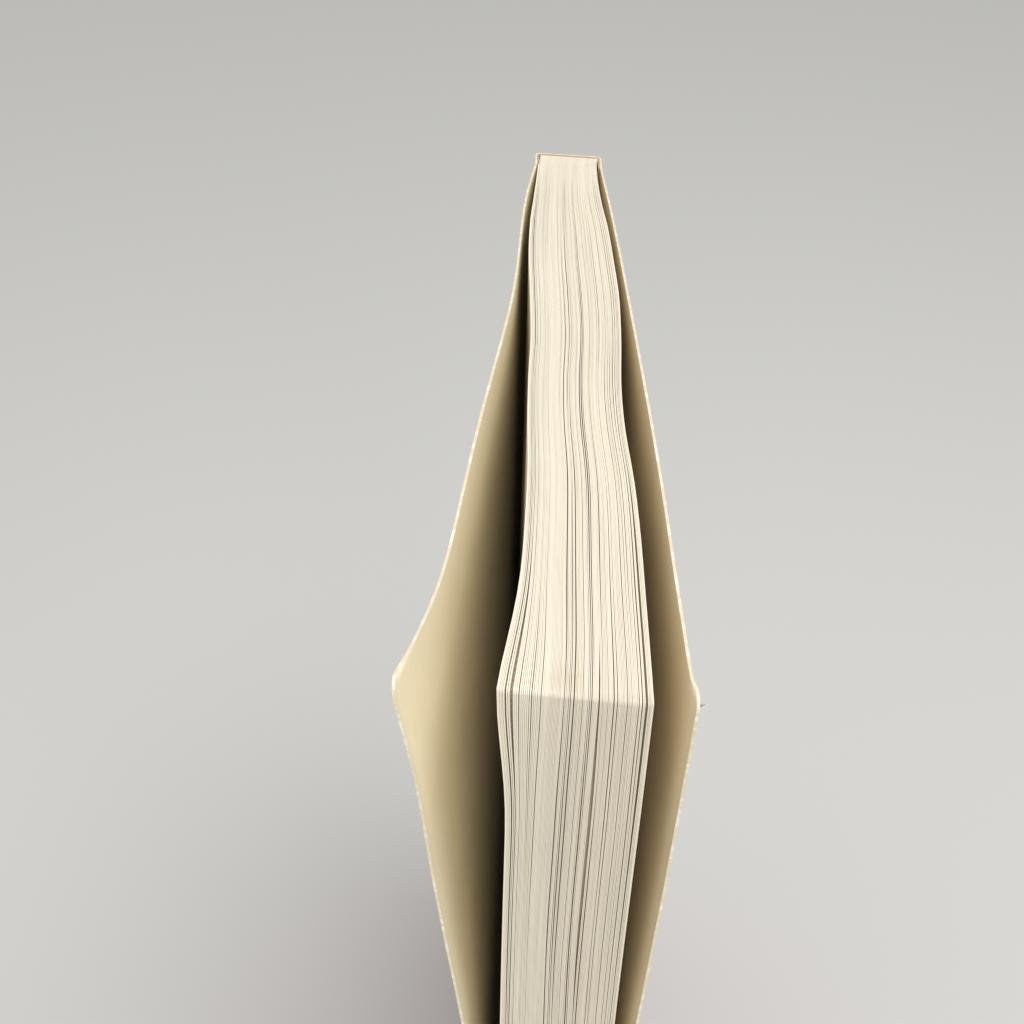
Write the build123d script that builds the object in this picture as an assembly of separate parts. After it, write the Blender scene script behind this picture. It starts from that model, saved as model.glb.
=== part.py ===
from build123d import *

import math
import os

# A perfect-bound paperback that stands on its tail, in millimetres.
# +Z runs up from the tail to the head, +Y from the fore-edge to the spine,
# -X is the front cover's side and +X the back cover's. The origin is the centre of
# the page block's tail face.

# Page block
page_width = 107.0          # fore-edge to the glued spine edge of the leaves
page_height = 178.0         # tail to head; the covers and the spine are trimmed with the leaves
block_at_spine = 8.4        # thickness of the leaves where the glue grips them
block_at_shoulder = 10.5    # where the leaves have fanned out past the glue
block_at_waist = 10.2       # halfway to the fore-edge
block_at_fore_edge = 11.8   # the worn, fanned fore-edge
shoulder_from_spine = 26.0
waist_from_spine = 62.0
lean = 1.1                  # shelf roll: the back lies this much nearer the fore-edge than the front

# Binding glue and cover card
card = 0.28                 # thickness of the cover card
glue_back = 0.5             # glue between the leaves and the spine of the cover
glue_side = 0.27            # glue that runs round onto the outermost leaves
wrap = 4.0                  # how far the cover is glued round onto the sides of the block
fold_radius = 0.7           # outside radius of the cover's two spine corners
corner_radius = 1.2         # worn free corners of the covers
hinge_gap = 0.15            # between the glued wrap and a cover panel, at its crease

# How the covers stand off: (share of the panel from its crease, mm out from the spine's side).
# The head line is the panel's curve at the head, and the tail line the one that it eases into.
front_head_line = [(0, 0), (0.13, 1.4), (0.34, 2.2), (0.6, 4.9), (0.8, 6.75), (1, 9.05)]
front_tail_line = [(0, 0), (0.13, 1.2), (0.34, 1.75), (0.6, 2.4), (0.8, 2.95), (1, 3.45)]
back_head_line = [(0, 0), (0.15, 1.1), (0.4, 2.5), (0.7, 3.9), (0.9, 4.45), (1, 4.6)]
back_tail_line = [(0, 0), (0.15, 1.05), (0.4, 1.7), (0.7, 2.25), (0.9, 2.55), (1, 2.7)]
splay_reach = 78.0          # how far below the head the extra splay has died out
front_flare = 2.0           # the front cover's head corner is bent out by this much more
back_flare = 0.3
flare_reach = 17.0          # the bend's reach from that corner

# The grid of points that a cover's surface is drawn through
columns = 16
overlap = 2.0               # the surface runs this far past the panel's trimmed edges
level_shares = [0, 0.25, 0.5, 0.62, 0.72, 0.8, 0.87, 0.93, 0.97, 1]

block_spine_y = page_width / 2
spine_outside_y = block_spine_y + glue_back + card
spine_half = block_at_spine / 2 + glue_side + card
panel_width = spine_outside_y - wrap + page_width / 2


def leaned(x, y):
    """The place of a point once the shelf roll has slid the back towards the fore-edge."""
    return (x, y - lean * x / block_at_fore_edge)


def page_block():
    """All leaves as one solid: square ends, with sides that fan out from the glued spine."""
    def side(way):
        glued = leaned(way * block_at_spine / 2, block_spine_y - wrap)
        shoulder = leaned(way * block_at_shoulder / 2, block_spine_y - shoulder_from_spine)
        waist = leaned(way * block_at_waist / 2, block_spine_y - waist_from_spine)
        fore = leaned(way * block_at_fore_edge / 2, -page_width / 2)
        spine = leaned(way * block_at_spine / 2, block_spine_y)
        fan = Spline(glued, shoulder, waist, fore)
        return Line(spine, glued), fan, spine, fore

    left_glued, left_fan, left_spine, left_fore = side(-1)
    right_glued, right_fan, right_spine, right_fore = side(1)
    outline = [left_glued, left_fan, Line(left_fore, right_fore), right_fan, right_glued]
    outline.append(Line(right_spine, left_spine))
    return extrude(make_face(outline), page_height)


def spine_outline(side_inset, back_inset, radius):
    """The outline of the wrapped spine end, drawn in from the card's outside."""
    half = spine_half - side_inset
    back = spine_outside_y - back_inset
    foot = spine_outside_y - wrap
    corners = [leaned(-half, foot), leaned(-half, back), leaned(half, back), leaned(half, foot)]
    outline = make_face(Polyline(*corners, close=True))
    if radius > 0:
        rounded = outline.vertices().sort_by(Axis.Y)[-2:]
        outline = fillet(rounded, radius)
    return outline


def spine_cover():
    """The cover card across the spine, folded round both corners onto the glued sides."""
    outside = spine_outline(0, 0, fold_radius)
    inside = spine_outline(card, card, fold_radius - card)
    return extrude(outside - inside, page_height)


def spine_glue():
    """The glue that fills the room between the leaves and the folded card."""
    outside = spine_outline(card, card, fold_radius - card)
    inside = spine_outline(card + glue_side, card + glue_back, 0)
    return extrude(outside - inside, page_height)


def cover_line(points):
    """A panel's curve: X runs from its crease to its free edge, Y out from the spine's side."""
    places = [(share * panel_width, out) for share, out in points]
    last, before = places[-1], places[-2]
    slope = (last[1] - before[1]) / (last[0] - before[0])
    return Spline(*places[:-1], (last[0] + overlap, last[1] + slope * overlap))


def cover_panel(way, head_line, tail_line, flare):
    """One cover from its crease to its free edge: a thin sheet, bowed, splayed at the head."""
    crease_x, crease_y = leaned(way * spine_half, spine_outside_y - wrap)
    levels = [share * (page_height + 2 * overlap) - overlap for share in level_shares]
    grid = []
    for height in levels:
        drop = page_height - height
        opened = (1 + math.cos(math.pi * min(max(drop, 0), splay_reach) / splay_reach)) / 2
        row = []
        for column in range(columns + 1):
            at_head = cover_line(head_line) @ (column / columns)
            at_tail = cover_line(tail_line) @ (column / columns)
            place = at_tail + (at_head - at_tail) * opened
            from_corner = math.hypot(panel_width - place.X, drop)
            bend = flare * max(0, 1 - from_corner / flare_reach) ** 2
            row.append(Vector(crease_x + way * (place.Y + bend), crease_y - place.X, height))
        grid.append(row)
    skin = Face.make_surface_from_array_of_points(grid, tol=0.01)
    sheet = Solid.extrude(skin, Vector(-way * card, 0, 0))

    # The trimmed outline, with both free corners rounded
    long_side = panel_width - hinge_gap
    plate = Box(8 * spine_half, long_side, page_height)
    free_corners = plate.edges().filter_by(Axis.X).group_by(Axis.Y)[0]
    plate = fillet(free_corners, corner_radius)
    centre = Pos(crease_x + way * 2 * spine_half, crease_y - hinge_gap - long_side / 2)
    return (centre * Pos(0, 0, page_height / 2) * plate) & sheet


def front_cover():
    return cover_panel(-1, front_head_line, front_tail_line, front_flare)


def back_cover():
    return cover_panel(1, back_head_line, back_tail_line, back_flare)


os.makedirs("parts", exist_ok=True)
for make in (page_block, spine_glue, spine_cover, front_cover, back_cover):
    shape = make()
    shape.label = make.__name__
    export_step(shape, f"parts/{make.__name__}.step")
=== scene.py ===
import math

import bmesh
import bpy
from bpy.props import FloatProperty, FloatVectorProperty, IntProperty, PointerProperty
from mathutils import Matrix, Vector, noise
from mathutils.bvhtree import BVHTree


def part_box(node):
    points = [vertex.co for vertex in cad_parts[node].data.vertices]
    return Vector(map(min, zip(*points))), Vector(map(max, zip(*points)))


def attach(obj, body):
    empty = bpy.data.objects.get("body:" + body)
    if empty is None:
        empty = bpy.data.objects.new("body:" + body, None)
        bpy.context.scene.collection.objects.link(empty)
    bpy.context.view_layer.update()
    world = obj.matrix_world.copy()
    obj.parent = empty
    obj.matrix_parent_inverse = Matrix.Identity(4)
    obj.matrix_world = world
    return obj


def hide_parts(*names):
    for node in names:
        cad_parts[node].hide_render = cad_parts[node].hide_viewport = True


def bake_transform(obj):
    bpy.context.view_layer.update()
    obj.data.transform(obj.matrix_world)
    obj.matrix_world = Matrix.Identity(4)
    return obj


bl_info = {
    "name": "Paperback book",
    "version": (1, 0, 0),
    "blender": (4, 5, 0),
    "location": "3D View > Sidebar > Paperback",
    "description": "Dresses the paperback's frame: leaves, covers, spine, glue and stage",
    "category": "Object",
}

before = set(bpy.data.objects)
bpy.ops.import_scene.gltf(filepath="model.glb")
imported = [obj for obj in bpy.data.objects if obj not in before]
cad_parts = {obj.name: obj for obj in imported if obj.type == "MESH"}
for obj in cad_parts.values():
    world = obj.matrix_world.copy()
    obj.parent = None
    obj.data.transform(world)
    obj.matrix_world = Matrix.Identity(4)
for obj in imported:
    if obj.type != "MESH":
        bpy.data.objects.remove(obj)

MM = 0.001
BLOCK_LOW, BLOCK_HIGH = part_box("page_block")
HEIGHT = BLOCK_HIGH.z / MM
WIDTH = (BLOCK_HIGH.y - BLOCK_LOW.y) / MM
LEAN = 1.1 / 11.8           # how far the back lies nearer the fore-edge, per mm across
SPINE_Y = 53.5              # the leaves' glued edge
BACK_Y = 54.28              # the outside of the spine's card
SPINE_HALF = 4.75           # half the outside thickness at the spine
WRAP = 4.0                  # the glued wrap, from the back to each crease
FORE_Y = -53.5              # the leaves' free edge
CREASE_Y = BACK_Y - WRAP
SEAM = 2.0                  # the spine's card meets a cover's card this far behind the crease
COVER_SIDES = {"front_cover": -1, "back_cover": 1}


# Sizes in the code are in mm; the settings below hold lengths in metres, as Blender does.

# ---------------------------------------------------------------- sizes and colours

class LeafSettings(bpy.types.PropertyGroup):
    """Sizes of the leaves and of the gaps between them."""
    count: IntProperty(name="Leaves", description="Leaves between the two outermost ones",
                       default=94, min=10, max=150)
    rim: FloatProperty(name="Rim", description="How far in from its edges each leaf is built",
                       default=3.0 * MM, unit="LENGTH")
    close_gap: FloatProperty(name="Close gap", default=0.2,
                             description="Gap between leaves that lie together, in leaf thicknesses")
    bundle_gap: FloatProperty(name="Bundle gap", default=1.2,
                              description="Widest gap between bundles, in leaf thicknesses")
    flare: FloatProperty(name="Flare", default=1.0 * MM, unit="LENGTH",
                         description="How far the first leaves stand out at the head corner")
    paper: FloatVectorProperty(name="Paper", description="Aged cream of the cut edges",
                               subtype="COLOR", default=(0.82, 0.755, 0.62))
    yellowed: FloatVectorProperty(name="Yellowed paper", description="Tint of the stains",
                                  subtype="COLOR", default=(0.62, 0.50, 0.33))


class CardSettings(bpy.types.PropertyGroup):
    """Sizes and colours of the cover card."""
    thickness: FloatProperty(name="Card", description="Thickness of the cover card",
                             default=0.28 * MM, unit="LENGTH")
    fold_radius: FloatProperty(name="Fold radius", default=0.7 * MM, unit="LENGTH",
                               description="Outside radius of the two spine corners")
    corner_radius: FloatProperty(name="Corner radius", default=1.2 * MM, unit="LENGTH",
                                 description="Radius of the worn free corners")
    bend_reach: FloatProperty(name="Bend reach", default=2.2 * MM, unit="LENGTH",
                              description="Width of the strip that bends as a cover opens")
    front_lip: FloatProperty(name="Front lip", default=0.1 * MM, unit="LENGTH",
                             description="How far the front cover's free edge curls out")
    back_lip: FloatProperty(name="Back lip", default=0.35 * MM, unit="LENGTH",
                            description="How far the back cover's free edge curls out")
    inside: FloatVectorProperty(name="Inside", description="Bare card, browned with age",
                                subtype="COLOR", default=(0.86, 0.76, 0.53))
    outside: FloatVectorProperty(name="Outside", description="Faded plain cover colour",
                                 subtype="COLOR", default=(0.27, 0.085, 0.065))
    worn: FloatVectorProperty(name="Worn edge", description="Pale fibres where the card is rubbed",
                              subtype="COLOR", default=(0.80, 0.76, 0.65))


class StageSettings(bpy.types.PropertyGroup):
    """The floor, the light and the camera."""
    floor: FloatVectorProperty(name="Floor", description="Colour of the floor", subtype="COLOR",
                               default=(0.62, 0.62, 0.61))
    sky: FloatProperty(name="Sky", description="Strength of the even light", default=0.72)
    lamp: FloatProperty(name="Lamp", description="Power of the soft lamp above", default=1.6,
                        unit="POWER")
    fill: FloatProperty(name="Fill lamp", description="Power of the soft lamp ahead", default=1.1,
                        unit="POWER")
    lens: FloatProperty(name="Lens", description="Focal length on a 36 mm sensor", default=46.76,
                        unit="CAMERA")


# ---------------------------------------------------------------- meshes

def leaned(x, y):
    """The place of a point once the shelf roll has slid the back towards the fore-edge."""
    return x, y - LEAN * x


def smooth(value, low, high):
    """0 below low, 1 above high, and a smooth step between them."""
    share = min(max((value - low) / (high - low), 0), 1)
    return share * share * (3 - 2 * share)


def steps(start, end, spacing):
    """Evenly spaced values from start to end, about spacing apart."""
    count = max(1, round(abs(end - start) / spacing))
    return [start + (end - start) * i / count for i in range(count + 1)]


def closed_sheet(name, outer, inner, materials):
    """A closed sheet between two grids of points in mm.
    Its materials are the outside's, the inside's and the cut edges'."""
    rows, columns = len(outer), len(outer[0])
    points = [Vector(p) * MM for row in outer for p in row]
    points += [Vector(p) * MM for row in inner for p in row]
    below = rows * columns

    def at(row, column):
        return row * columns + column

    faces, finish = [], []
    for row in range(rows - 1):
        for column in range(columns - 1):
            face = (at(row, column), at(row, column + 1),
                    at(row + 1, column + 1), at(row + 1, column))
            faces += [face, tuple(below + i for i in reversed(face))]
            finish += [0, 1]
    border = [at(0, c) for c in range(columns)] + [at(r, columns - 1) for r in range(1, rows)]
    border += [at(rows - 1, c) for c in range(columns - 2, -1, -1)]
    border += [at(r, 0) for r in range(rows - 2, 0, -1)]
    for here, after in zip(border, border[1:] + border[:1]):
        faces.append((after, here, below + here, below + after))
        finish.append(2)
    mesh = bpy.data.meshes.new(name)
    mesh.from_pydata(points, [], faces)
    for material in materials:
        mesh.materials.append(material)
    mesh.polygons.foreach_set("material_index", finish)
    return mesh


def finished(name, mesh, sharp=40):
    """Turns a mesh into a shown object, with its faces outwards and its cut edges crisp."""
    form = bmesh.new()
    form.from_mesh(mesh)
    bmesh.ops.recalc_face_normals(form, faces=form.faces)
    form.to_mesh(mesh)
    form.free()
    mesh.shade_smooth()
    mesh.set_sharp_from_angle(angle=math.radians(sharp))
    piece = bpy.data.objects.new(name, mesh)
    bpy.context.scene.collection.objects.link(piece)
    return piece


def store(mesh, name, values):
    """Keeps one number for each point of the mesh, for the materials."""
    mesh.attributes.new(name, "FLOAT", "POINT").data.foreach_set("value", values)


# ---------------------------------------------------------------- node trees

def wire(tree, socket, value):
    """Links a socket to another one, or sets its value."""
    if isinstance(value, bpy.types.NodeSocket):
        tree.links.new(value, socket)
    else:
        socket.default_value = value


def node(tree, kind, inputs=None, **settings):
    """Adds a node, with its settings and its inputs."""
    made = tree.nodes.new(kind)
    for name, value in settings.items():
        setattr(made, name, value)
    for name, value in (inputs or {}).items():
        wire(tree, made.inputs[name], value)
    return made


def calc(tree, operation, *values):
    """A Math node's result."""
    made = node(tree, "ShaderNodeMath", operation=operation)
    for socket, value in zip(made.inputs, values):
        wire(tree, socket, value)
    return made.outputs[0]


def ramp(tree, value, low, high, start=0.0, end=1.0):
    """A smooth step of value from start to end between low and high."""
    made = node(tree, "ShaderNodeMapRange", interpolation_type="SMOOTHSTEP")
    for name, number in (("Value", value), ("From Min", low), ("From Max", high),
                         ("To Min", start), ("To Max", end)):
        wire(tree, made.inputs[name], number)
    return made.outputs[0]


def curve(tree, value, points):
    """A Float Curve through (place, height) points, both from 0 to 1."""
    made = node(tree, "ShaderNodeFloatCurve", {"Value": value})
    line = made.mapping.curves[0]
    line.points[0].location = points[0]
    line.points[1].location = points[-1]
    for place in points[1:-1]:
        line.points.new(*place)
    made.mapping.update()
    return made.outputs[0]


def material(name, roughness):
    """A new material; returns it with its tree and its surface node."""
    made = bpy.data.materials.new(name)
    made.use_nodes = True
    surface = made.node_tree.nodes["Principled BSDF"]
    surface.inputs["Roughness"].default_value = roughness
    return made, made.node_tree, surface


def speckle(tree, size, stretch=(1, 1, 1), detail=3.0):
    """Noise in the piece's own space; size is the feature's width in mm."""
    place = node(tree, "ShaderNodeTexCoord").outputs["Object"]
    turned = node(tree, "ShaderNodeMapping", {"Vector": place, "Scale": stretch})
    made = node(tree, "ShaderNodeTexNoise", {"Vector": turned.outputs[0], "Scale": 1 / (size * MM),
                                             "Detail": detail})
    return made.outputs["Fac"]


def blended(tree, share, first, second, how="MIX"):
    """A mix of two colours."""
    made = node(tree, "ShaderNodeMix", data_type="RGBA", blend_type=how)
    wire(tree, made.inputs[0], share)
    wire(tree, made.inputs[6], first)
    wire(tree, made.inputs[7], second)
    return made.outputs[2]


def bumped(tree, surface, height, depth, strength=0.6):
    """Gives the surface a bump of so many mm."""
    made = node(tree, "ShaderNodeBump", {"Height": height, "Distance": depth * MM, "Strength": strength})
    wire(tree, surface.inputs["Normal"], made.outputs[0])


def colour(value):
    return (*value, 1)


def near(tree, centre, reach):
    """1 at a place in mm, falling smoothly to 0 at reach."""
    place = node(tree, "ShaderNodeTexCoord").outputs["Object"]
    apart = node(tree, "ShaderNodeVectorMath", operation="DISTANCE")
    wire(tree, apart.inputs[0], place)
    wire(tree, apart.inputs[1], [c * MM for c in centre])
    return ramp(tree, apart.outputs["Value"], 0.0, reach * MM, 1.0, 0.0)


# ---------------------------------------------------------------- materials

def leaf_edges():
    """Cut paper edges: cream, uneven from leaf to leaf, stained, and yellowed towards the front of the
    fore-edge. The whole fore-edge is painted darker grey-brown, as painted shade for the light from
    above.
    """
    sizes = bpy.context.scene.paperback_leaves
    made, tree, surface = material("leaf_edges", 0.9)
    tone = node(tree, "ShaderNodeAttribute", attribute_name="leaf_tone").outputs["Fac"]
    cloud = speckle(tree, 9, detail=4.0)
    fibres = speckle(tree, 0.3, stretch=(1, 0.6, 0.6))
    shade = calc(tree, "ADD", calc(tree, "MULTIPLY", tone, 0.18),
                 calc(tree, "MULTIPLY", calc(tree, "ADD", cloud, fibres), 0.1))
    base = blended(tree, ramp(tree, shade, 0.1, 0.42), colour(sizes.paper),
                   colour([c * k for c, k in zip(sizes.paper, (0.90, 0.88, 0.84))]))
    place = node(tree, "ShaderNodeSeparateXYZ",
                 {0: node(tree, "ShaderNodeTexCoord").outputs["Object"]})
    # Painted shade: the fore-edge face is mixed towards a darker grey-brown, so it reads less lit than
    # the head.
    fore = ramp(tree, place.outputs["Y"], (FORE_Y - 0.2) * MM, (FORE_Y + 0.8) * MM, 0.35, 0.0)
    base = blended(tree, fore, base, colour((0.60, 0.53, 0.43)))
    left = calc(tree, "MULTIPLY", ramp(tree, place.outputs["X"], -7 * MM, -2 * MM, 0.5, 0.0), fore)
    base = blended(tree, left, base, colour(sizes.yellowed))
    stain = calc(tree, "MULTIPLY", near(tree, (-1.0, -51.5, HEIGHT), 2.6), 0.30)
    base = blended(tree, stain, base, colour(sizes.yellowed))
    wire(tree, surface.inputs["Base Color"], base)
    bumped(tree, surface, fibres, 0.05, 0.5)
    return made


def leaf_faces():
    """The blank faces of the outermost leaves."""
    sizes = bpy.context.scene.paperback_leaves
    made, tree, surface = material("leaf_faces", 0.88)
    cloud = speckle(tree, 25, detail=5.0)
    base = blended(tree, ramp(tree, cloud, 0.3, 0.8, 0.0, 0.22), colour(sizes.paper),
                   colour(sizes.yellowed))
    wire(tree, surface.inputs["Base Color"], base)
    bumped(tree, surface, speckle(tree, 0.6), 0.02)
    return made


def card_inside(name, tint):
    """Bare card: tan, fibrous, a little blotched."""
    sizes = bpy.context.scene.paperback_card
    made, tree, surface = material(name, 0.85)
    # The tint darkens the back cover's inside as painted shade; the front's stays at full colour.
    base_colour = [c * t for c, t in zip(sizes.inside, tint)]
    cloud = speckle(tree, 14, detail=5.0)
    fibres = speckle(tree, 0.35, stretch=(1, 1, 0.4), detail=5.0)
    base = blended(tree, ramp(tree, cloud, 0.3, 0.7, 0.0, 0.35), colour(base_colour),
                   colour([c * 0.8 for c in base_colour]))
    base = blended(tree, ramp(tree, fibres, 0.62, 0.75, 0.0, 0.25), base, colour(sizes.worn))
    edge = node(tree, "ShaderNodeAttribute", attribute_name="from_edge").outputs["Fac"]
    worn = calc(tree, "MULTIPLY", ramp(tree, edge, 0.0, 0.4, 0.7, 0.0), ramp(tree, fibres, 0.3, 0.6))
    base = blended(tree, worn, base, colour(sizes.worn))
    wire(tree, surface.inputs["Base Color"], base)
    bumped(tree, surface, fibres, 0.03)
    return made


def card_outside():
    """Laminated cover: one faded colour, rubbed pale along folds and edges."""
    sizes = bpy.context.scene.paperback_card
    made, tree, surface = material("card_outside", 0.42)
    cloud = speckle(tree, 30, detail=5.0)
    scuffs = speckle(tree, 1.6, stretch=(1, 1, 0.25), detail=6.0)
    base = blended(tree, ramp(tree, cloud, 0.3, 0.7, 0.0, 0.45), colour(sizes.outside),
                   colour([c * k for c, k in zip(sizes.outside, (1.35, 1.7, 1.8))]))
    edge = node(tree, "ShaderNodeAttribute", attribute_name="from_edge").outputs["Fac"]
    reach = calc(tree, "MULTIPLY", ramp(tree, scuffs, 0.4, 0.75), 1.0)
    rubbed = ramp(tree, calc(tree, "SUBTRACT", edge, reach), -0.5, 0.45, 1.0, 0.0)
    base = blended(tree, calc(tree, "MULTIPLY", rubbed, 0.6), base, colour(sizes.worn))
    flecks = ramp(tree, speckle(tree, 2.6, detail=8.0), 0.74, 0.8, 0.0, 0.4)
    base = blended(tree, flecks, base, colour(sizes.worn))
    wire(tree, surface.inputs["Base Color"], base)
    wire(tree, surface.inputs["Roughness"], ramp(tree, scuffs, 0.3, 0.75, 0.34, 0.6))
    surface.inputs["Coat Weight"].default_value = 0.25
    bumped(tree, surface, cloud, 0.06, 0.4)
    return made


def card_cut():
    """The card's cut edge, frayed and pale."""
    sizes = bpy.context.scene.paperback_card
    made, tree, surface = material("card_cut", 0.9)
    fibres = speckle(tree, 0.8, detail=4.0)
    base = blended(tree, ramp(tree, fibres, 0.3, 0.55), colour(sizes.worn),
                   colour([c * k for c, k in zip(sizes.worn, (0.84, 0.78, 0.66))]))
    wire(tree, surface.inputs["Base Color"], base)
    bumped(tree, surface, fibres, 0.06)
    return made


def old_glue():
    """Hard, amber binding glue."""
    made, tree, surface = material("old_glue", 0.45)
    cloud = speckle(tree, 1.5)
    base = blended(tree, cloud, colour((0.50, 0.36, 0.19)), colour((0.36, 0.23, 0.11)))
    wire(tree, surface.inputs["Base Color"], base)
    bumped(tree, surface, cloud, 0.08)
    return made


def clear_film():
    """A lifted flake of the clear lamination, milky where it is creased."""
    made, tree, surface = material("clear_film", 0.3)
    edge = node(tree, "ShaderNodeAttribute", attribute_name="from_edge").outputs["Fac"]
    base = blended(tree, ramp(tree, edge, 0.0, 0.15), colour((0.85, 0.85, 0.83)),
                   colour((0.45, 0.46, 0.47)))
    wire(tree, surface.inputs["Base Color"], base)
    wire(tree, surface.inputs["Alpha"], ramp(tree, edge, 0.0, 0.15, 0.95, 0.6))
    return made


# ---------------------------------------------------------------- leaves

LEAF_CORNER = 0.5           # radius of a leaf's free corners
HEAD_STEP, FORE_STEP, TAIL_STEP = 2.0, 2.5, 4.0     # spacing of the points along a leaf's edges
FULL_STEP = 3.0             # spacing of the points on a whole leaf
WITHIN = 1.2                # the inner leaves end this far inside the cut edges
GLUE_CLEARANCE = 0.2        # and this far short of the glued edge

# Leaves that stand apart from their neighbours, by number from the front
FLARED_LEAF, SPLIT_LEAF, LOOSE_LEAF = 5, 59, 90
PARTING_SEED, EDGE_SEED, TONE_SEED = 11, 23, 37

# By share of the width from the spine: the block's half thickness, as a share of FAN_SCALE
FAN_SCALE = 10.0
FAN = [(0, 0.41), (0.05, 0.42), (0.14, 0.465), (0.2, 0.51), (0.34, 0.538), (0.5, 0.512),
       (0.62, 0.507), (0.75, 0.535), (0.9, 0.565), (1, 0.592)]
# and how the block sways to the side at the head, as a share of SWAY_SCALE, where 0.5 is straight
SWAY_SCALE = 2.0
SWAY = [(0, 0.55), (0.08, 0.38), (0.25, 0.5), (0.44, 0.74), (0.58, 0.6), (0.75, 0.83), (0.88, 0.75),
        (1, 0.58)]


def leaf_outline(inset):
    """The leaf's free outline in mm, from the spine's head round the fore-edge to the spine's tail."""
    head, fore, corner = HEIGHT - inset, FORE_Y + inset, LEAF_CORNER
    turn = [math.radians(a) for a in (15, 30, 45, 60, 75)]
    from_head = [(fore + corner - corner * math.sin(a), head - corner + corner * math.cos(a))
                 for a in turn]
    to_tail = [(fore + corner - corner * math.cos(a), inset + corner - corner * math.sin(a))
               for a in turn]
    line = [(y, head) for y in steps(SPINE_Y, fore + corner, HEAD_STEP)]
    line += from_head
    line += [(fore, z) for z in steps(head - corner, inset + corner, FORE_STEP)]
    line += to_tail
    line += [(y, inset) for y in steps(fore + corner, SPINE_Y, TAIL_STEP)]
    return line


def leaf_rim(rim):
    """The border strip of one leaf; X is 0 on its front face and 1 on its back face."""
    free, within = leaf_outline(0), leaf_outline(rim)
    rows = [[[(side / MM, *p), (side / MM, *q)] for p, q in zip(free, within)] for side in (0, 1)]
    return closed_sheet("leaf_rim", *rows, [])


def full_leaf(inset):
    """One whole leaf; X is 0 on its front face and 1 on its back face."""
    across = steps(SPINE_Y - (GLUE_CLEARANCE if inset else 0), FORE_Y + inset, FULL_STEP)
    up = steps(inset, HEIGHT - inset, FULL_STEP)
    rows = [[[(side / MM, y, z) for y in across] for z in up] for side in (0, 1)]
    return closed_sheet("full_leaf", *rows, [])


class LeafFields:
    """What the tree knows of each point: its leaf, its place in the leaf, and noise made from them."""

    def __init__(self, tree):
        self.tree = tree
        self.leaf = self.number("leaf")
        self.slot = self.number("place_in_leaf")
        position = node(tree, "GeometryNodeInputPosition").outputs[0]
        place = node(tree, "ShaderNodeSeparateXYZ", {0: position})
        self.side = place.outputs["X"]
        self.y = calc(tree, "DIVIDE", place.outputs["Y"], MM)
        self.z = calc(tree, "DIVIDE", place.outputs["Z"], MM)
        self.from_spine = calc(tree, "SUBTRACT", SPINE_Y, self.y)
        self.drop = calc(tree, "SUBTRACT", HEIGHT, self.z)
        self.deep = calc(tree, "DIVIDE", self.from_spine, WIDTH)
        self.loose = ramp(tree, self.from_spine, 4.0, 16.0)

    def number(self, name):
        """A whole number that was stored under this name."""
        made = node(self.tree, "GeometryNodeInputNamedAttribute", {"Name": name}, data_type="INT")
        return made.outputs[0]

    def draw(self, seed):
        """A random share for each leaf."""
        made = node(self.tree, "FunctionNodeRandomValue", {"ID": self.leaf, "Seed": seed},
                    data_type="FLOAT")
        return made.outputs[1]

    def drift(self, size, seed):
        """Noise that varies slowly along a leaf's edge and differs from leaf to leaf."""
        tree = self.tree
        along = node(tree, "ShaderNodeCombineXYZ", {1: calc(tree, "DIVIDE", self.y, size),
                                                    2: calc(tree, "DIVIDE", self.z, size)})
        own = calc(tree, "MULTIPLY_ADD", self.leaf, 3.7, seed)
        made = node(tree, "ShaderNodeTexNoise", {"Vector": along.outputs[0], "W": own, "Scale": 1.0,
                                                 "Detail": 1.0}, noise_dimensions="4D")
        return made.outputs[0]

    def only(self, number, *factors):
        """The product of the factors at one leaf, and 0 at the others."""
        return product(self.tree, calc(self.tree, "COMPARE", self.leaf, number, 0.5), *factors)


def product(tree, first, *others):
    """Multiplies values together."""
    for other in others:
        first = calc(tree, "MULTIPLY", first, other)
    return first


def numbered_leaves(tree, given):
    """One copy for each leaf; every point keeps its place in the leaf and the leaf's number."""
    def stored(geometry, name, **domain):
        index = node(tree, "GeometryNodeInputIndex").outputs[0]
        made = node(tree, "GeometryNodeStoreNamedAttribute",
                    {"Geometry": geometry, "Name": name, "Value": index}, data_type="INT", **domain)
        return made.outputs[0]

    marked = stored(given["Leaf"], "place_in_leaf")
    row = node(tree, "GeometryNodeMeshLine", {"Count": given["Leaves"], "Offset": (0, 0, 0)})
    copies = node(tree, "GeometryNodeInstanceOnPoints", {"Points": row.outputs[0], "Instance": marked})
    numbered = stored(copies.outputs[0], "leaf", domain="INSTANCE")
    return node(tree, "GeometryNodeRealizeInstances", {0: numbered}).outputs[0]


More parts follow.
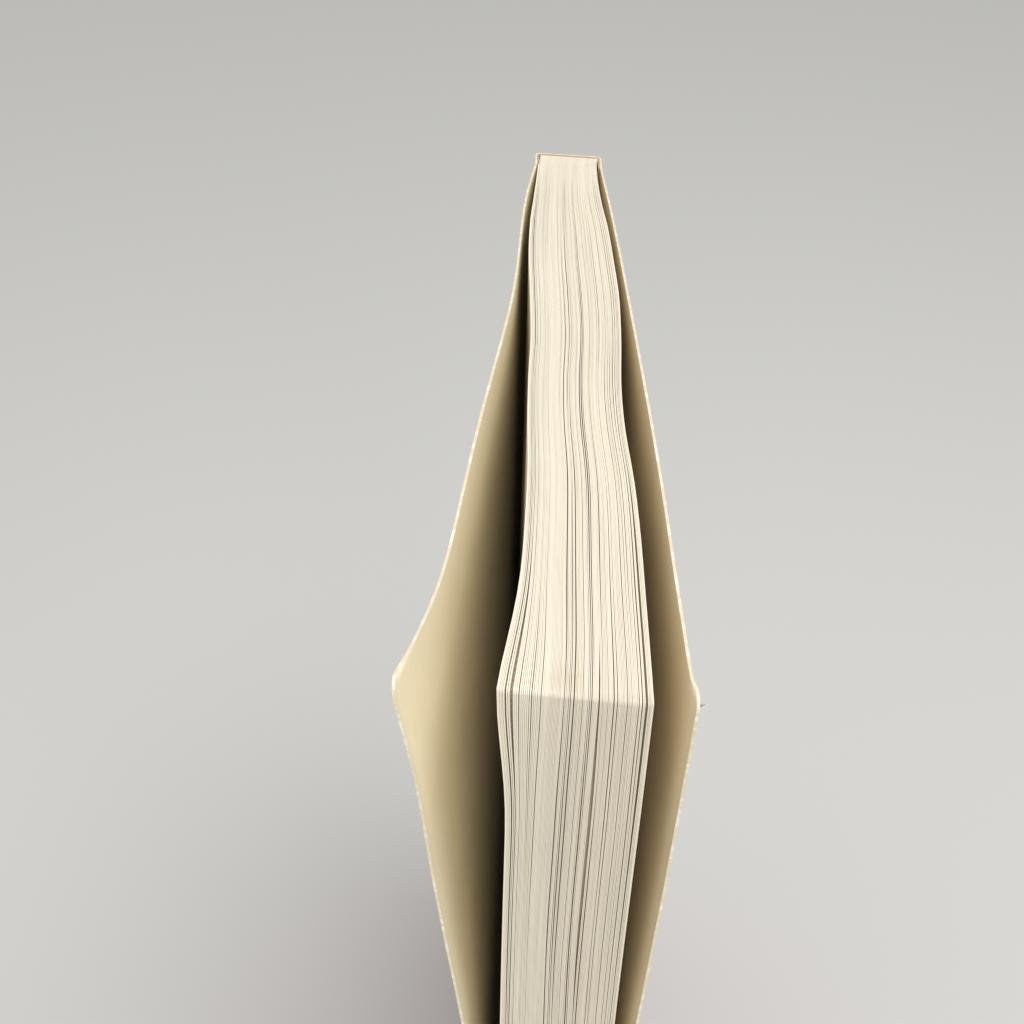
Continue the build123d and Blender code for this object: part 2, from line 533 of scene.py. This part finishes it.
def gap_after(tree, fields, given):
    """The gap after each leaf, in leaf thicknesses: close in a bundle, wider between bundles."""
    from_spine, drop = fields.from_spine, fields.drop
    parted = ramp(tree, fields.draw(PARTING_SEED), 0.66, 1.0)
    fading = ramp(tree, fields.drift(45, 1.0), 0.36, 0.62, 0.15, 1.0)
    bundle = product(tree, parted, fading, fields.loose, given["Parting"])
    uneven = ramp(tree, fields.drift(30, 5.0), 0.3, 0.7, 0.5, 1.5)
    close = product(tree, given["Close gap"], uneven)

    # The block has split on the fore-edge, and an outer bundle on each side stands off
    fore = ramp(tree, fields.y, FORE_Y + 8, FORE_Y + 1)
    split = fields.only(SPLIT_LEAF, fore, ramp(tree, drop, -4.0, 14.0, 0.3, 1.0),
                        ramp(tree, drop, 26.0, 52.0, 3.2, 0.2))
    last = fields.only(LOOSE_LEAF, ramp(tree, from_spine, 60.0, 95.0),
                       ramp(tree, drop, 0.0, 30.0, 1.8, 0.4))
    first = fields.only(FLARED_LEAF, ramp(tree, from_spine, 84.0, 105.0),
                        ramp(tree, drop, 0.0, 14.0, 2.0, 0.5))
    apart = calc(tree, "ADD", calc(tree, "ADD", split, last), first)
    apart = product(tree, apart, calc(tree, "MINIMUM", given["Parting"], 1.0))
    return calc(tree, "ADD", calc(tree, "ADD", bundle, close), apart)


def share_across(tree, fields, given):
    """Where each face lies between the block's sides: 0 at the front, 1 at the back."""
    room = calc(tree, "ADD", gap_after(tree, fields, given), 1.0)
    pile = node(tree, "GeometryNodeAccumulateField", {"Value": room, "Group ID": fields.slot},
                data_type="FLOAT")
    within = calc(tree, "DIVIDE", calc(tree, "ADD", pile.outputs["Trailing"], fields.side),
                  pile.outputs["Total"])
    span = calc(tree, "SUBTRACT", given["To"], given["From"])
    return calc(tree, "ADD", given["From"], product(tree, within, span))


def place_across(tree, fields, given, share):
    """X in mm: glued tight at the spine, fanned beyond it, swaying and flared at the head."""
    drop = fields.drop
    half = product(tree, FAN_SCALE, curve(tree, fields.deep, FAN))
    swayed = calc(tree, "SUBTRACT", curve(tree, fields.deep, SWAY), 0.5)
    sway = product(tree, swayed, SWAY_SCALE, ramp(tree, drop, 0, 45, 1, 0.1))
    from_fore = calc(tree, "SUBTRACT", WIDTH, fields.from_spine)
    corner = calc(tree, "SQRT", calc(tree, "ADD", calc(tree, "POWER", drop, 2.0),
                                     calc(tree, "POWER", from_fore, 2.0)))
    flared = product(tree, calc(tree, "POWER", ramp(tree, corner, 0.0, 20.0, 1.0, 0.0), 1.5),
                     given["Flare"], ramp(tree, share, 0.0, 0.26, 1.0, 0.0))
    x = product(tree, calc(tree, "MULTIPLY_ADD", share, 2.0, -1.0), half)
    return calc(tree, "SUBTRACT", calc(tree, "ADD", x, sway), flared)


def place_in_block(tree, fields, given):
    """Each point's place, with small steps between one leaf's cut edge and the next."""
    x = place_across(tree, fields, given, share_across(tree, fields, given))
    step = product(tree, calc(tree, "SUBTRACT", fields.draw(EDGE_SEED), 0.5), 0.06)
    wave = product(tree, calc(tree, "SUBTRACT", fields.drift(8, 9.0), 0.5), 0.1)
    out = product(tree, calc(tree, "ADD", step, wave), fields.loose)
    upward = calc(tree, "MULTIPLY_ADD", calc(tree, "DIVIDE", fields.z, HEIGHT), 2.0, -1.0)
    y = calc(tree, "SUBTRACT", fields.y, product(tree, fields.deep, out))
    y = calc(tree, "SUBTRACT", y, product(tree, x, LEAN))
    z = calc(tree, "MAXIMUM", calc(tree, "ADD", fields.z, product(tree, upward, out)), 0.0)
    place = node(tree, "ShaderNodeCombineXYZ",
                 {axis: product(tree, value, MM) for axis, value in enumerate((x, y, z))})
    return place.outputs[0]


def settle_leaves():
    """The tree that lays leaves side by side, parts the bundles and gives the leaves their finish."""
    tree = bpy.data.node_groups.new("settle_leaves", "GeometryNodeTree")
    for name, kind in (("Leaf", "Geometry"), ("Leaves", "Int"), ("From", "Float"), ("To", "Float"),
                       ("Parting", "Float"), ("Close gap", "Float"), ("Flare", "Float"),
                       ("Finish", "Material")):
        tree.interface.new_socket(name, in_out="INPUT", socket_type="NodeSocket" + kind)
    tree.interface.new_socket("Leaves laid", in_out="OUTPUT", socket_type="NodeSocketGeometry")
    given = tree.nodes.new("NodeGroupInput").outputs

    whole = numbered_leaves(tree, given)
    fields = LeafFields(tree)
    laid_out = node(tree, "GeometryNodeSetPosition",
                    {"Geometry": whole, "Position": place_in_block(tree, fields, given)})
    toned = node(tree, "GeometryNodeStoreNamedAttribute",
                 {"Geometry": laid_out.outputs[0], "Name": "leaf_tone",
                  "Value": fields.draw(TONE_SEED)}, data_type="FLOAT")
    painted = node(tree, "GeometryNodeSetMaterial",
                   {"Geometry": toned.outputs[0], "Material": given["Finish"]})
    real = node(tree, "GeometryNodeRealizeInstances", {0: painted.outputs[0]})
    wire(tree, tree.nodes.new("NodeGroupOutput").inputs[0], real.outputs[0])
    return tree


def laid(name, template, tree, values):
    """Runs the tree on a template and returns the result as a plain shown piece."""
    draft = bpy.data.objects.new(name + "_draft", template)
    bpy.context.scene.collection.objects.link(draft)
    layer = draft.modifiers.new("Settle leaves", "NODES")
    layer.node_group = tree
    sockets = {item.name: item.identifier for item in tree.interface.items_tree
               if item.in_out == "INPUT"}
    for label, value in values.items():
        layer[sockets[label]] = value
    view = bpy.context.evaluated_depsgraph_get()
    mesh = bpy.data.meshes.new_from_object(draft.evaluated_get(view))
    mesh.name = name
    bpy.data.objects.remove(draft)
    return finished(name, mesh, 30)


class PAPERBACK_OT_leaves(bpy.types.Operator):
    """Lay the leaves: their edges, the two outermost leaves, and the paper within"""
    bl_idname = "paperback.leaves"
    bl_label = "Leaves"

    def execute(self, context):
        sizes = context.scene.paperback_leaves
        tree = settle_leaves()
        edges, faces = leaf_edges(), leaf_faces()
        outermost = 1 / (sizes.count + 2)
        shared = {"Flare": sizes.flare / MM, "Finish": edges}
        many = laid("leaf_edges", leaf_rim(sizes.rim / MM), tree,
                    {"Leaves": sizes.count, "From": outermost, "To": 1 - outermost,
                     "Parting": sizes.bundle_gap, "Close gap": sizes.close_gap, **shared})
        single = {"Leaves": 1, "Parting": 0.0, "Close gap": 0.0, "Flare": sizes.flare / MM,
                  "Finish": faces}
        first = laid("first_leaf", full_leaf(0), tree, {"From": 0.0, "To": outermost, **single})
        last = laid("last_leaf", full_leaf(0), tree, {"From": 1 - outermost, "To": 1.0, **single})
        within = laid("inner_leaves", full_leaf(WITHIN), tree,
                      {"From": outermost * 0.6, "To": 1 - outermost * 0.6, **single})
        for piece in (many, first, last, within):
            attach(piece, "pages")
        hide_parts("page_block")
        return {"FINISHED"}


# ---------------------------------------------------------------- cover card

EDGE_STEPS = (0, 0.15, 0.35, 0.7, 1.2, 2)           # points on the card, in from a cut edge
SHEET_STEP = 2.5                                    # and their spacing farther in
CREASE_STEPS = [-SEAM, -1.2, -0.6, -0.2, 0.0, 0.2, 0.5, 0.8, 1.2, 1.7, 2.3, 3.2, 4.4]
PATH_STEP, BACK_STEP = 0.5, 0.6                     # spacing along the spine card's outline
FOLD_INSET = 0.35           # the middle of a spine corner lies this far in from both faces
SURFACE_INSET = 0.45        # the frame's panel is sampled this far inside its cut edges
CREASE_EASE = 0.7           # a card reaches the frame's panel this far from its crease
SMOOTH_WITHIN = 4.0         # the frame's facets are smoothed out farther in than this
SMOOTH_ROUNDS = 3
CREASE_GUARD = 0.75         # keeps the crease itself less rubbed than the edges
# The back cover's inside is the same card painted darker, as painted shade, to look less lit than the
# front cover's inside.
INSIDE_PAINTED_SHADE = {-1: (1.0, 1.0, 1.0), 1: (0.95, 0.90, 0.86)}


def wrapped_path(inset):
    """The spine card's outline, drawn in by inset, from one glued side round the back to the other."""
    sizes = bpy.context.scene.paperback_card
    half, back = SPINE_HALF - inset, BACK_Y - inset
    radius = sizes.fold_radius / MM - inset
    line = [(-half, y) for y in steps(CREASE_Y + SEAM, back - radius, PATH_STEP)]
    turn = [math.radians(a) for a in range(11, 90, 11)]
    line += [(-half + radius - radius * math.cos(a), back - radius + radius * math.sin(a))
             for a in turn]
    line += [(x, back) for x in steps(-half + radius, half - radius, BACK_STEP)]
    line += [(half - radius + radius * math.sin(a), back - radius + radius * math.cos(a))
             for a in turn]
    line += [(half, y) for y in steps(back - radius, CREASE_Y + SEAM, PATH_STEP)]
    return line


def free_edge_steps(start, end):
    """Places from start up to end that are close together near both ends."""
    *fine, inmost = EDGE_STEPS
    between = steps(start + inmost, end - inmost, SHEET_STEP)
    return [start + d for d in fine] + between + [end - d for d in reversed(fine)]


class PAPERBACK_OT_spine(bpy.types.Operator):
    """Fold the card across the spine, and finish the glue under it"""
    bl_idname = "paperback.spine"
    bl_label = "Spine card and glue"

    def execute(self, context):
        sizes = context.scene.paperback_card
        heights = free_edge_steps(0.0, HEIGHT)
        grids = [[[(*leaned(x, y), z) for x, y in wrapped_path(inset)] for z in heights]
                 for inset in (0, sizes.thickness / MM)]
        mesh = closed_sheet("spine_card", *grids,
                            [card_outside(), card_inside("spine_inside", (1, 1, 1)), card_cut()])
        across, back = SPINE_HALF - FOLD_INSET, BACK_Y - FOLD_INSET
        from_edge = [min(z, HEIGHT - z, FOLD_INSET + math.hypot(abs(x) - across, y + LEAN * x - back))
                     for grid in grids for row in grid for x, y, z in row]
        store(mesh, "from_edge", from_edge)
        piece = finished("spine_card", mesh)
        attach(piece, "pages")
        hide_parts("spine_cover")
        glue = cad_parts["spine_glue"]
        glue.data.materials.clear()
        glue.data.materials.append(old_glue())
        return {"FINISHED"}


def panel_surface(cover, way):
    """A function that gives the cover's outer face: x for a place (y, z), all in mm."""
    tree = BVHTree.FromObject(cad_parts[cover], bpy.context.evaluated_depsgraph_get())
    low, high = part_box(cover)

    def outer(y, z):
        y = min(max(y, low.y / MM + SURFACE_INSET), high.y / MM - SURFACE_INSET)
        z = min(max(z, SURFACE_INSET), HEIGHT - SURFACE_INSET)
        hit = tree.ray_cast(Vector((way * 0.1, y * MM, z * MM)), Vector((-way, 0, 0)))
        if hit[0] is None:
            raise RuntimeError(f"{cover} has no surface at y {y:.2f}, z {z:.2f}")
        return hit[0].x / MM

    return outer


def panel_skin(cover, way, across, heights):
    """X of the cover's outer face, by height and by distance from the crease, without facets."""
    outer = panel_surface(cover, way)
    crease_x, crease_y = leaned(way * SPINE_HALF, CREASE_Y)

    def skin(u, z):
        if u <= 0:
            return crease_x
        here = outer(crease_y - max(u, CREASE_EASE), z)
        return crease_x + (here - crease_x) * smooth(u, -0.6, CREASE_EASE)

    def inner_places(places, first):
        return [i for i in range(first, len(places) - 1) if places[-1] - places[i] > SMOOTH_WITHIN]

    rows = [[skin(u, z) for u in across] for z in heights]
    beyond_crease = across.index(next(u for u in across if u > 1))
    smoothed = [(r, c) for r in inner_places(heights, 1) if heights[r] > SMOOTH_WITHIN
                for c in inner_places(across, beyond_crease)]
    for _ in range(SMOOTH_ROUNDS):
        before = [row[:] for row in rows]
        for r, c in smoothed:
            rows[r][c] = (before[r][c] * 2 + before[r - 1][c] + before[r + 1][c]) / 4
    return rows


def rubbed_back(z, way, radius):
    """How far the free edge is cut back at a height, by its round corners and by wear."""
    short = radius - min(z, HEIGHT - z)
    trim = radius - math.sqrt(max(radius ** 2 - short ** 2, 0)) if short > 0 else 0
    worn = 0.16 * noise.noise((z * 0.9, way * 5, 0)) + 0.1 * noise.noise((z * 3.1, way * 9, 0))
    return trim + max(worn, 0)


def cover_card(cover, way, lip):
    """One cover: it starts on the glued side, bends at the crease and runs to its worn free edge."""
    sizes = bpy.context.scene.paperback_card
    thickness, radius = sizes.thickness / MM, sizes.corner_radius / MM
    crease_x, crease_y = leaned(way * SPINE_HALF, CREASE_Y)
    length = crease_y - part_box(cover)[0].y / MM
    across = CREASE_STEPS + [u for u in free_edge_steps(0, length) if u > 5]
    heights = free_edge_steps(0.0, HEIGHT)
    skin = panel_skin(cover, way, across, heights)

    def place(u, z, x, inward):
        inner = way * inward
        ragged = max(0.12 * noise.noise((u * 1.3, way * 3, 7)), 0) * smooth(z, HEIGHT - 2, HEIGHT)
        if u <= 0:
            glued_x, glued_y = leaned(way * SPINE_HALF, CREASE_Y - u)
            return (glued_x - inner, glued_y + LEAN * inner, z - ragged)
        reached = min(u, length) - rubbed_back(z, way, radius) * smooth(u, length - 5, length)
        curl = lip * smooth(u, length - 2.4, length + 0.6) * smooth(z, 2, 20)
        return (x + way * curl - inner, crease_y - reached, z - ragged)

    grids = [[[place(u, z, x, inward) for u, x in zip(across, row)] for z, row in zip(heights, skin)]
             for inward in (0, thickness)]
    from_edge = [min(z, HEIGHT - z, length - u, CREASE_GUARD + abs(u)) for z in heights for u in across]
    name = cover.replace("_cover", "_card")
    inside = card_inside(name + "_inside", INSIDE_PAINTED_SHADE[way])
    mesh = closed_sheet(name, *grids, [card_outside(), inside, card_cut()])
    store(mesh, "from_edge", from_edge * 2)
    piece = finished(name, mesh)
    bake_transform(piece)
    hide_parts(cover)


class PAPERBACK_OT_covers(bpy.types.Operator):
    """Make the two covers from the frame's bowed panels"""
    bl_idname = "paperback.covers"
    bl_label = "Covers"

    def execute(self, context):
        sizes = context.scene.paperback_card
        for cover, way in COVER_SIDES.items():
            lip = sizes.front_lip if way < 0 else sizes.back_lip
            cover_card(cover, way, lip / MM)
        return {"FINISHED"}


FILM = 0.03                 # thickness of the film
FLAKE_WIDTH, FLAKE_TAPER = 0.95, 0.85               # width of the flake's foot, and its loss by the tip
FLAKE_LIFT, FLAKE_CURL = 0.9, 0.75                  # how far the tip stands up, and out
FLAKE_ROWS, FLAKE_COLUMNS = 6, 4


class PAPERBACK_OT_film(bpy.types.Operator):
    """Lift a small flake of clear film at the back cover's head corner"""
    bl_idname = "paperback.film"
    bl_label = "Film flake"

    def execute(self, context):
        low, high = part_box("back_cover")
        foot = Vector((high.x / MM + 0.06, low.y / MM + 0.15, HEIGHT - 1.0))
        shares = [(i / FLAKE_ROWS, j / FLAKE_COLUMNS) for i in range(FLAKE_ROWS + 1)
                  for j in range(FLAKE_COLUMNS + 1)]

        def width(up):
            return FLAKE_WIDTH * (1 - FLAKE_TAPER * up)

        def place(up, along, inward):
            curl = FLAKE_CURL * up ** 1.4 + 0.02 - inward
            return tuple(foot + Vector((curl, along * width(up) - 0.1 * up, FLAKE_LIFT * up)))

        grids = []
        for inward in (0, FILM):
            points = [place(up, along, inward) for up, along in shares]
            grids.append([points[i:i + FLAKE_COLUMNS + 1]
                          for i in range(0, len(points), FLAKE_COLUMNS + 1)])
        from_edge = [min(along, 1 - along) * width(up) + (0 if up == 1 else 0.02)
                     for up, along in shares]
        mesh = closed_sheet("film_flake", *grids, [clear_film()] * 3)
        store(mesh, "from_edge", from_edge * 2)
        piece = finished("film_flake", mesh)
        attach(piece, "back_cover")
        return {"FINISHED"}


# ---------------------------------------------------------------- stage

FLOOR_REACH = 3.0           # half the floor's side, in metres
LAMP_AIM = (0, 0, 0.1)      # metres, as the lamps' places and sizes are
EYE_PLACE = (-4.76, -129.02, 256.44)                # the camera's place, in mm
EYE_YAW, EYE_DOWN, EYE_ROLL = 0.725, 38.256, 1.189  # and its angles, in degrees


def plain(name, tint, roughness):
    """A plain material of one colour."""
    made, _, surface = material(name, roughness)
    surface.inputs["Base Color"].default_value = colour(tint)
    return made


def soft_lamp(name, place, size, power):
    """A round soft lamp in metres that faces the book."""
    glow = bpy.data.lights.new(name, "AREA")
    glow.shape = "DISK"
    glow.size = size
    glow.energy = power
    lamp = bpy.data.objects.new(name, glow)
    lamp.location = place
    aim = Vector(LAMP_AIM) - lamp.location
    lamp.rotation_euler = aim.to_track_quat("-Z", "Y").to_euler()
    bpy.context.scene.collection.objects.link(lamp)


class PAPERBACK_OT_stage(bpy.types.Operator):
    """Set the floor, the soft light and the camera"""
    bl_idname = "paperback.stage"
    bl_label = "Stage"

    def execute(self, context):
        sizes = context.scene.paperback_stage
        scene = context.scene
        mesh = bpy.data.meshes.new("floor")
        corners = [(x * FLOOR_REACH, y * FLOOR_REACH, 0) for x, y in ((-1, -1), (1, -1), (1, 1), (-1, 1))]
        mesh.from_pydata(corners, [], [(0, 1, 2, 3)])
        mesh.materials.append(plain("pale_floor", sizes.floor, 0.9))
        floor = bpy.data.objects.new("floor", mesh)
        scene.collection.objects.link(floor)

        world = bpy.data.worlds.new("even_light")
        world.use_nodes = True
        sky = world.node_tree.nodes["Background"]
        sky.inputs["Color"].default_value = (1, 0.99, 0.97, 1)
        sky.inputs["Strength"].default_value = sizes.sky
        scene.world = world

        soft_lamp("lamp_above", (0.12, -0.10, 0.62), 0.35, sizes.lamp)
        soft_lamp("lamp_ahead", (0.06, -0.62, 0.30), 0.40, sizes.fill)

        lens = bpy.data.cameras.new("camera")
        lens.lens = sizes.lens
        lens.sensor_width = 36
        lens.clip_start = 0.01
        eye = bpy.data.objects.new("camera", lens)
        yaw, down, roll = (math.radians(a) for a in (EYE_YAW, EYE_DOWN, EYE_ROLL))
        flat = math.cos(down)
        ahead = Vector((-math.sin(yaw) * flat, math.cos(yaw) * flat, -math.sin(down)))
        level = Vector((math.cos(yaw), math.sin(yaw), 0))
        above = level.cross(ahead)
        right = level * math.cos(roll) + above * math.sin(roll)
        up = above * math.cos(roll) - level * math.sin(roll)
        turn = Matrix((right, up, -ahead)).transposed().to_4x4()
        eye.matrix_world = Matrix.Translation(Vector(EYE_PLACE) * MM) @ turn
        scene.collection.objects.link(eye)
        scene.camera = eye
        scene.view_settings.view_transform = "Standard"
        return {"FINISHED"}


# ---------------------------------------------------------------- panel and registration

class PAPERBACK_PT_panel(bpy.types.Panel):
    """Lists the paperback's operators and settings"""
    bl_idname = "PAPERBACK_PT_panel"
    bl_label = "Paperback book"
    bl_space_type = "VIEW_3D"
    bl_region_type = "UI"
    bl_category = "Paperback"

    def draw(self, context):
        for operator in OPERATORS:
            self.layout.operator(operator.bl_idname)
        for group in SETTINGS:
            values = getattr(context.scene, group)
            for name in values.bl_rna.properties.keys():
                if name not in {"rna_type", "name"}:
                    self.layout.prop(values, name)


SETTINGS = {"paperback_leaves": LeafSettings, "paperback_card": CardSettings,
            "paperback_stage": StageSettings}
OPERATORS = (PAPERBACK_OT_leaves, PAPERBACK_OT_spine, PAPERBACK_OT_covers, PAPERBACK_OT_film,
             PAPERBACK_OT_stage)
CLASSES = (*SETTINGS.values(), *OPERATORS, PAPERBACK_PT_panel)


def register():
    for cls in CLASSES:
        bpy.utils.register_class(cls)
    for name, cls in SETTINGS.items():
        setattr(bpy.types.Scene, name, PointerProperty(type=cls))


def unregister():
    for name in SETTINGS:
        delattr(bpy.types.Scene, name)
    for cls in reversed(CLASSES):
        bpy.utils.unregister_class(cls)


def main():
    register()
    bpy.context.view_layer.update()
    bpy.ops.paperback.leaves()
    bpy.ops.paperback.spine()
    bpy.ops.paperback.covers()
    bpy.ops.paperback.film()
    bpy.ops.paperback.stage()


if __name__ == "__main__":
    main()
